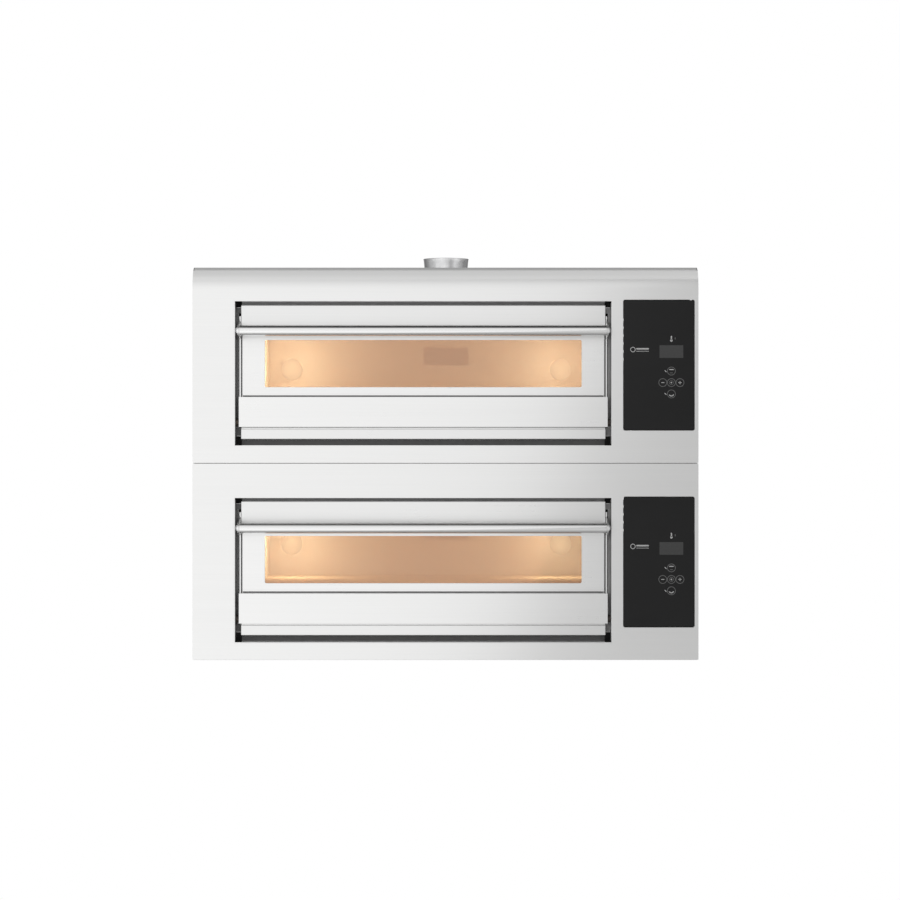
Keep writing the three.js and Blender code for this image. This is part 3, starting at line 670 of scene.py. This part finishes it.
def serpentine(deck, z):
    """The element's route: straight runs across the chamber, joined by round bends."""
    first, pitch, turn, end = ELEMENT["first"], ELEMENT["pitch"], ELEMENT["turn"], ELEMENT["end"]
    bend = pitch / 2
    points = [in_bay(deck, end, first, z)]
    side = -1
    for run in range(ELEMENT["runs"]):
        depth = first + run * pitch
        last_run = run == ELEMENT["runs"] - 1
        start = end if run == 0 else -side * turn
        target = end if last_run else side * turn
        for i in range(1, 9):
            points.append(in_bay(deck, start + (target - start) * i / 8, depth, z))
        if not last_run:
            for i in range(1, 16):
                angle = -math.pi / 2 + math.pi * i / 16
                points.append(in_bay(deck, target + side * bend * math.cos(angle),
                                     depth + bend + bend * math.sin(angle), z))
        side = -side
    return points


def elements(deck):
    """Sheathed heating elements, and the ceramic seals where their ends leave the chamber."""
    last = ELEMENT["first"] + (ELEMENT["runs"] - 1) * ELEMENT["pitch"]
    seal_profile = [(4.3, -2.0), (8.5, -2.0), (9.0, -1.5), (9.0, 0.0), (4.3, 0.0)]
    for label, z in ELEMENT_Z.items():
        rod = tube(f"{deck}_{label}_heater", serpentine(deck, z), ELEMENT["radius"] * MM, CASING,
                   "element_sheath", 16)
        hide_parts(f"{deck}_{label}_element")
        for i, depth in enumerate((ELEMENT["first"], last)):
            lathe(f"{deck}_{label}_heater_seal_{i}", seal_profile, X, in_bay(deck, CHAMBER_WALL, depth, z),
                  CASING, "gland_plastic", segments=24, ring=True, material=MATERIALS["baking_stone"])


def lamps(deck):
    """Domed lamp glasses on the chamber's back wall, each in a flat bezel."""
    body, radius, bulge, steps = LAMP["body"], LAMP["dome"], 17.2, 11
    dome = [(AXIS, 34.0), (body - 0.4, 34.0), (body, 33.5), (body, 0.0), (radius - 0.6, 0.0), (radius, -0.6)]
    for i in range(1, steps):
        angle = math.pi / 2 * i / steps
        dome.append((radius * math.cos(angle) ** 0.9, -0.6 - bulge * math.sin(angle)))
    dome.append((AXIS, -0.6 - bulge))
    bezel = [(radius + 0.1, -0.2), (radius + 0.1, -0.9), (radius + 1.0, -1.2), (radius + 5.0, -1.2),
             (radius + 6.0, -0.8), (radius + 6.0, -0.2)]
    for side, label in SIDES:
        centre = in_bay(deck, side * LAMP["x"], LAMP["depth"], LAMP["z"])
        globe = lathe(f"{deck}_lamp_dome_{label}", dome, Y, centre, CASING, "lamp_glass", segments=40)
        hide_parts(f"{deck}_lamp_{label}")
        lathe(f"{deck}_lamp_bezel_{label}", bezel, Y, centre, CASING, "chamber_steel", segments=40, ring=True)


def probe(deck):
    """Thermocouple that reaches into the chamber from its right wall, and its nut."""
    start = in_bay(deck, CHAMBER_WALL, PROBE["depth"], PROBE["z"])
    rod = [(AXIS, 0.0), (3.0, 0.0), (3.0, 44.0), (2.4, 46.5), (1.2, 47.6), (AXIS, 48.0)]
    lathe(f"{deck}_probe", rod, -X, start, CASING, "polished_steel", segments=20)
    nut = [(3.1, 0.0), (8.0, 0.0), (8.0, 5.0), (7.2, 6.0), (3.1, 6.0)]
    lathe(f"{deck}_probe_nut", nut, -X, start, CASING, "polished_steel", segments=6, ring=True, smooth=False)


def around(size, grow, radius, steps, rise=0.0):
    """Rectangle with round corners that stands clear of a size's width and height by grow."""
    width, height = size["width"] + 2 * grow, size["height"] + 2 * grow
    return rounded(width * MM, height * MM, radius * MM, steps, rise)


def gasket(deck):
    """Braided glass-fibre seal on the chamber flange, round the mouth."""
    braid = Batch()
    braid.band(around(MOUTH, 4.0, 8.0, 6), around(MOUTH, -4.0, 4.0, 6),
               in_bay(deck, 0, MOUTH["depth"], MOUTH["z"]), X, Z, -Y, 1.3 * MM)
    braid.done(f"{deck}_mouth_seal", CASING, "mineral_wool", bevel=0.0004)


def slab(batch, deck, x, depth, z):
    """Adds a plain block between the bay positions given as pairs."""
    (x0, x1), (z0, z1) = sorted(x), z
    outline = [(x0 * MM, z0 * MM), (x1 * MM, z0 * MM), (x1 * MM, z1 * MM), (x0 * MM, z1 * MM)]
    batch.prism(outline, in_bay(deck, 0, depth[0], 0), X, Z, Y, (depth[1] - depth[0]) * MM)


def seal(name, deck, body, look, *blocks, bevel=0.0):
    """One strip of painted shade made of plain blocks, each given as x, depth and z pairs."""
    run = Batch()
    for x, depth, z in blocks:
        slab(run, deck, x, depth, z)
    run.done(f"{deck}_{name}", body, "gland_plastic", material=look, bevel=bevel)


def opening_painted_shade(deck):
    """Painted shade on the turned-in lips of the opening: grey strips, dark liners and a near-black plate
    round the mouth, where the recess falls into shade.
    """
    on_lip, edge = (27.6, 28.3), OPENING_SIDE
    # Painted shade: the head strip is a mid grey and the sill strip a darker one, as less light reaches the
    # sill.
    seal("head_shade_strip", deck, CASING, PAINTED_SHADE_MID, ((-360, 360), on_lip, (314.2, 319.8)))
    seal("sill_shade_strip", deck, CASING, PAINTED_SHADE_DARK, ((-360, 360), on_lip, (35.4, 46.6)))
    for side, label in SIDES:
        # Painted shade: the left jamb strip and liner are darker than the right ones, as the light comes from
        # the left.
        seal(f"jamb_seal_{label}", deck, CASING, PAINTED_SHADE_MID if side < 0 else PAINTED_SHADE_PALE,
             ((side * (edge - 4.7), side * edge), on_lip, (70.2, 296.8)),
             ((side * (edge - 9.5), side * edge), on_lip, (54.0, 70.0)),
             ((side * (edge - 9.5), side * edge), on_lip, (297.0, 308.5)))
        seal(f"jamb_liner_{label}", deck, CASING, PAINTED_SHADE_DARK if side < 0 else PAINTED_SHADE_MID,
             ((side * (edge + 0.05), side * (edge + 0.5)), (3.6, 27.4), (38.5, 316.5)))
    # Painted shade: a near-black plate stands for the deep shade in the recess and its corners.
    plate = Batch()
    hole = around(MOUTH, 6.0, 9.0, 4, rise=(MOUTH["z"] - MOUTH_PLATE["z"]) * MM)
    plate.band(around(MOUTH_PLATE, 0.0, 6.0, 4), hole,
               in_bay(deck, 0, MOUTH_PLATE["depth"], MOUTH_PLATE["z"]), X, Z, -Y, 1.0 * MM)
    plate.done(f"{deck}_mouth_plate", CASING, "gland_plastic", material=PAINTED_SHADE_BLACK)


def door_painted_shade(deck, body):
    """Grey strips of painted shade where the door's flat panel meets its bottom rail and its cheek plates."""
    seal("rail_shade_line", deck, body, PAINTED_SHADE_MID, ((-358.0, 358.0), (24.0, 24.8), (131.3, 134.4)), bevel=0.0002)
    for side, label in SIDES:
        seal(f"cheek_seam_{label}", deck, body, PAINTED_SHADE_PALE,
             ((side * 359.2, side * 361.7), (30.0, 32.0), (133.0, 258.0)))


def window_trim(deck, body):
    """Thin steel bead round the outer pane's visible edge."""
    bead = Batch()
    bead.band(around(WINDOW, 0.7, 4.2, 6), around(WINDOW, -0.7, 3.0, 6),
              in_bay(deck, 0, WINDOW["depth"], WINDOW["z"]), X, Z, -Y, 0.9 * MM)
    bead.done(f"{deck}_window_bead", body, "gland_plastic", material=MATERIALS["door_steel"])


class Print:
    """Flat marks of one ink on a deck's control glass."""

    def __init__(self, deck, face):
        self.deck, self.face = deck, face
        self.batch = Batch()

    def spot(self, x, z):
        return Vector((x * MM, self.face, deck_floor(self.deck) + z * MM))

    def shape(self, outline, x, z, turn=0.0):
        along, up = X * math.cos(turn) + Z * math.sin(turn), Z * math.cos(turn) - X * math.sin(turn)
        self.batch.prism(outline, self.spot(x, z), along, up, -Y, PANEL["ink"] * MM)

    def bar(self, x, z, width, height, turn=0.0):
        self.shape(rounded(width * MM, height * MM, min(width, height) * 0.45 * MM, 3), x, z, turn)

    def disc(self, x, z, radius):
        self.shape(circle(radius * MM, 20), x, z)

    def ring(self, x, z, outer, inner, steps):
        self.batch.band(circle(outer * MM, steps), circle(inner * MM, steps), self.spot(x, z), X, Z, -Y,
                        PANEL["ink"] * MM)

    def done(self, name, material, **look):
        self.batch.done(f"{self.deck}_{name}", CASING, "control_glass", material=material, **look)


def control_panel(deck):
    """Control glass with a display window, five touch keys and plain generic marks."""
    low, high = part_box(f"{deck}_control_glass")
    centre = (low + high) / 2
    glass = Batch()
    glass.prism(rounded(high.x - low.x, high.z - low.z, 3.4 * MM, 8), Vector((centre.x, high.y, centre.z)),
                X, Z, -Y, high.y - low.y)
    panel = glass.done(f"{deck}_control_face", CASING, "control_glass", bevel=0.0008, segments=3)
    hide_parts(f"{deck}_control_glass")

    face = low.y - 0.02 * MM
    x, z, pitch, ring = PANEL["middle"], PANEL["keys_z"], PANEL["pitch"], PANEL["ring"]
    above, below = z + 22.8, z - 22.4

    window = Print(deck, face)
    window.shape(rounded(47 * MM, 25 * MM, 0.8 * MM, 4), x, PANEL["display_z"])
    window.done("display_window", DISPLAY_GREY)

    rings = Print(deck, face)
    for key_x, key_z in ((x, above), (x - pitch, z), (x, z), (x + pitch, z), (x, below)):
        rings.ring(key_x, key_z, ring, ring - 1.3, 48)
    rings.ring(x, z, 4.6, 3.6, 32)
    rings.shape(rounded(1.6 * MM, 4.4 * MM, 0.7 * MM, 3), x + 7.5, 246.5)
    rings.shape(rounded(6.0 * MM, 1.3 * MM, 0.6 * MM, 3), x, above - 3.6)
    rings.done("key_rings", PRINT_GREY, smooth=False)

    marks = Print(deck, face)
    marks.bar(x, above + 3.0, 9.0, 1.9)
    marks.bar(x - pitch, z, 6.4, 1.4)
    marks.bar(x + pitch, z, 6.4, 1.4)
    marks.bar(x + pitch, z, 1.4, 6.4)
    marks.disc(x, z, 1.5)
    marks.bar(x - 11.5, above - 0.2, 5.2, 1.5, -math.pi / 4)
    marks.bar(x - 11.5, below - 0.1, 5.2, 1.5, -math.pi / 4)
    arc = circle(5.4 * MM, 12, math.pi * 1.12, math.pi * 0.82)
    back = circle(3.6 * MM, 12, math.pi * 1.94, -math.pi * 0.82)
    marks.shape(arc + back, x, below + 0.4)
    marks.bar(x, 247.2, 2.6, 8.6)
    marks.disc(x, 242.4, 2.5)
    marks.ring(x - 76.0, 224.5, 5.2, 3.9, 36)
    marks.bar(x - 57.0, 226.0, 25.0, 3.0)
    marks.bar(x - 57.0, 221.2, 25.0, 1.0)
    marks.done("panel_marks", PRINT_WHITE, smooth=False)


def rear_fixings(deck):
    for row, z in enumerate((30.0, 190.0, 350.0)):
        for column, x in enumerate((-485.0, -160.0, 160.0, 485.0)):
            screw(f"{deck}_rear_screw_{row}{column}", at(deck, x, DECK_DEPTH, z), Y, CASING)


def cheek_fixings(deck, body):
    for side, label in SIDES:
        spot = in_bay(deck, side * HANDLE["cheek"], 20.0, 262.0)
        screw(f"{deck}_cheek_screw_{label}", spot, X * side, body, radius=2.6, height=1.6, segments=20)


for deck in DECKS:
    door_body = f"{deck}_door"
    handle(deck, door_body)
    hinge(deck, door_body)
    elements(deck)
    lamps(deck)
    probe(deck)
    gasket(deck)
    opening_painted_shade(deck)
    door_painted_shade(deck, door_body)
    window_trim(deck, door_body)
    control_panel(deck)
    rear_fixings(deck)
    cheek_fixings(deck, door_body)

# ---- shared pieces -------------------------------------------------------------------------


def flue():
    """Round flange, a flared pipe with a rolled rim, and four screws."""
    low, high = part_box("flue_collar")
    centre = Vector(((low.x + high.x) / 2, (low.y + high.y) / 2, ROOF_Z))
    foot, top = 0.3, (high.z - ROOF_Z) / MM
    bore, wall, flare, steps = 44.5, 1.6, 4.2, 10

    def flared(radius, step):
        t = step / steps
        return radius + flare * t ** 1.5, foot + 5.0 + (top - 6.4 - foot) * t

    profile = [(bore, foot), (63.6, foot), (65.0, foot + 0.6), (64.4, foot + 1.5), (48.0, foot + 1.5),
               (46.3, foot + 2.6), (bore + wall, foot + 5.0)]
    profile += [flared(bore + wall, i) for i in range(1, steps)]
    profile += [(50.6, top - 1.2), (51.0, top - 0.5), (50.7, top - 0.05), (50.0, top), (49.4, top - 0.5)]
    profile += [flared(bore, i) for i in range(steps, 0, -1)]
    collar = lathe("flue_pipe_collar", profile, Z, centre, CASING, "polished_steel", segments=96, ring=True)
    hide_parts("flue_collar")
    for i in range(4):
        angle = TAU * (i + 0.5) / 4
        spot = centre + Vector((math.cos(angle), math.sin(angle), 0)) * 56 * MM + Z * 1.8 * MM
        screw(f"flue_screw_{i}", spot, Z, CASING, radius=3.2, height=1.8)


def gland():
    """Cable gland on the back: locknut and dome nut with twelve grip flats."""
    low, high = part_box("cable_gland")
    centre = Vector(((low.x + high.x) / 2, BACK_Y, (low.z + high.z) / 2))
    reach = (high.y - BACK_Y) / MM
    bore, grip_from = 6.0, 12.5 * MM
    profile = [(bore, -9.7), (9.9, -9.7), (9.9, 0.3), (14.9, 0.3), (14.9, 8.2), (14.2, 9.0), (12.9, 9.2),
               (12.9, reach - 6.0), (11.6, reach - 2.4), (9.0, reach - 0.4), (7.6, reach),
               (bore, reach - 0.8)]

    def grip(angle, radius):
        return 1 - 0.0225 * (1 - math.cos(12 * angle)) if radius > grip_from else 1

    verts, faces = lathe_data([(r * MM, h * MM) for r, h in profile + profile[:1]], 48, grip)
    place = axis_matrix(Y, centre)
    body = piece("cable_gland_body", [place @ v for v in verts], faces, CASING, "gland_plastic")
    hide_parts("cable_gland")


def roof_fixings():
    for column, x in enumerate((-470.0, -160.0, 160.0, 470.0)):
        for row, depth in enumerate((84.0, 880.0)):
            screw(f"roof_screw_{row}{column}", Vector((x * MM, FRONT_Y + depth * MM, ROOF_Z)), Z, CASING,
                  radius=3.6, height=1.7)


def rating_plate():
    """Blank aluminium plate riveted to the back."""
    plate = Batch()
    origin = at("lower", 250.0, DECK_DEPTH + 0.05, 300.0)
    plate.prism(rounded(90 * MM, 55 * MM, 3 * MM, 5), origin, -X, Z, Y, 0.6 * MM)
    plate.done("rating_plate", CASING, "spring_steel", bevel=0.0002)
    for i, (x, z) in enumerate(((-40, -22), (40, -22), (-40, 22), (40, 22))):
        screw(f"plate_rivet_{i}", origin + Vector((x, 0.6, z)) * MM, Y, CASING, radius=2.0, height=1.0,
              segments=16)


flue()
gland()
roof_fixings()
rating_plate()

# ---- camera, lights and floor --------------------------------------------------------------

CAMERA_DISTANCE = 5.9
camera_data = bpy.data.cameras.new("camera")
camera_data.sensor_width = 36.0
camera_data.lens = 119.43
camera = bpy.data.objects.new("camera", camera_data)
camera.location = (0.009, FRONT_Y - CAMERA_DISTANCE, 0.415)
camera.rotation_euler = (math.pi / 2, 0, 0)
bpy.context.scene.collection.objects.link(camera)
bpy.context.scene.camera = camera
bpy.context.scene.view_settings.view_transform = "Standard"


def studio_world():
    """White to the camera; to the steel, a pale front, a grey right and a dark ceiling."""
    world = bpy.data.worlds.new("studio")
    bpy.context.scene.world = world
    world.use_nodes = True
    n = Tree(world.node_tree)
    n.tree.nodes.clear()
    direction = n.add("ShaderNodeSeparateXYZ")
    n.link(n.add("ShaderNodeTexCoord").outputs["Generated"], direction.inputs[0])

    def levels(axis, stops):
        """Grey level by the direction's part along one axis; 0 is its minus end and 1 its plus end."""
        place = n.spread(direction.outputs[axis], 0.0, 1.0, source_low=-1.0)
        return n.ramp(place, [(stop, (level, level, level)) for stop, level in stops], "EASE")

    across = levels("X", [(0.0, 0.60), (0.15, 0.58), (0.33, 0.78), (0.42, 0.78), (0.50, 0.57), (0.56, 0.52),
                          (0.74, 0.52), (0.86, 0.85), (0.93, 0.6), (1.0, 0.45)])
    rise = levels("Z", [(0.0, 0.60), (0.10, 0.85), (0.30, 1.0), (0.46, 0.86), (0.60, 0.83), (0.80, 0.68),
                        (0.93, 0.25), (0.985, 0.07), (1.0, 0.04)])
    along = levels("Y", [(0.0, 1.0), (0.45, 0.95), (0.70, 0.5), (0.90, 0.32), (1.0, 0.5)])
    lighting = n.add("ShaderNodeBackground")
    n.link(n.mixed(1.0, n.mixed(1.0, across, rise, "MULTIPLY"), along, "MULTIPLY"), lighting.inputs["Color"])
    lighting.inputs["Strength"].default_value = 1.2
    backdrop = n.add("ShaderNodeBackground")
    backdrop.inputs["Color"].default_value = (1, 1, 1, 1)
    n.finish_two_ways(lighting, backdrop, "ShaderNodeOutputWorld")


def studio_floor():
    """Pale floor that reads as white paper to the camera and as matt card to the steel."""
    mesh = bpy.data.meshes.new("floor")
    half, level = 30.0, -0.0005
    mesh.from_pydata([(-half, -half, level), (half, -half, level), (half, half, level), (-half, half, level)],
                     [], [(0, 1, 2, 3)])
    floor = bpy.data.objects.new("floor", mesh)
    bpy.context.scene.collection.objects.link(floor)
    material = bpy.data.materials.new("floor_paper")
    material.use_nodes = True
    n = Tree(material.node_tree)
    n.tree.nodes.clear()
    diffuse = n.add("ShaderNodeBsdfDiffuse")
    diffuse.inputs["Color"].default_value = (0.78, 0.78, 0.78, 1)
    n.finish_two_ways(diffuse, n.add("ShaderNodeEmission"), "ShaderNodeOutputMaterial")
    mesh.materials.append(material)
    floor.visible_glossy = False
    floor.visible_shadow = False


def area_light(name, location, turn, size, radiance, only=None):
    """A one-sided lamp panel of even radiance; only lists the pieces that it lights."""
    data = bpy.data.lights.new(name, "AREA")
    data.shape = "RECTANGLE"
    data.size, data.size_y = size
    data.energy = radiance * math.pi * size[0] * size[1]
    light = bpy.data.objects.new(name, data)
    light.matrix_world = Matrix.Translation(location) @ turn
    light.visible_camera = False
    bpy.context.scene.collection.objects.link(light)
    if only:
        lit = bpy.data.collections.new(f"lit by {name}")
        for obj in only:
            lit.objects.link(obj)
        light.light_linking.receiver_collection = lit


def key_light():
    """Tall panel 1 m in front; its right edge leans, so the steel's glow ends in a slanting fade."""
    width, height, lean = 3.0, 3.4, math.radians(15)
    edge = Vector((0.385, FRONT_Y - 1.0, 0.75))
    across = Vector((math.cos(lean), 0, -math.sin(lean)))
    up = Vector((math.sin(lean), 0, math.cos(lean)))
    turn = Matrix.Rotation(lean, 4, "Y") @ Matrix.Rotation(math.pi / 2, 4, "X")
    area_light("key", edge - across * (width / 2) - up * 0.55, turn, (width, height), 0.35)


def ceiling_lights():
    """Panels over the roof for the rolled front edge, the lid and the flue collar."""
    top = [frame["nodes"][name] for name in ("upper_fascia", "roof_panel")]
    down = Matrix.Identity(4)
    height = ROOF_Z + 0.6
    for name, x0, x1, y0, y1, radiance in (
            ("ceiling_front", -2.6, 2.6, -0.44, 0.40, 0.63), ("ceiling_back", -2.6, 2.6, 0.40, 1.6, 0.20),
            ("ceiling_left", -2.6, 0.30, -0.50, 1.6, 0.18)):
        area_light(name, Vector(((x0 + x1) / 2, FRONT_Y + (y0 + y1) / 2, height)), down, (x1 - x0, y1 - y0),
                   radiance, top)


def chamber_lights():
    """Warm light of the two chamber lamps of each deck."""
    for deck in DECKS:
        for side, power in ((-1, 2.62), (1, 2.15)):
            data = bpy.data.lights.new(f"{deck}_glow", "POINT")
            data.energy = power
            data.color = (1.0, 0.85, 0.57)
            data.shadow_soft_size = 0.03
            light = bpy.data.objects.new(f"{deck}_glow", data)
            light.location = in_bay(deck, side * GLOW["x"], GLOW["depth"], GLOW["z"])
            light.visible_camera = False
            light.visible_glossy = False
            bpy.context.scene.collection.objects.link(light)


studio_world()
studio_floor()
key_light()
ceiling_lights()
chamber_lights()
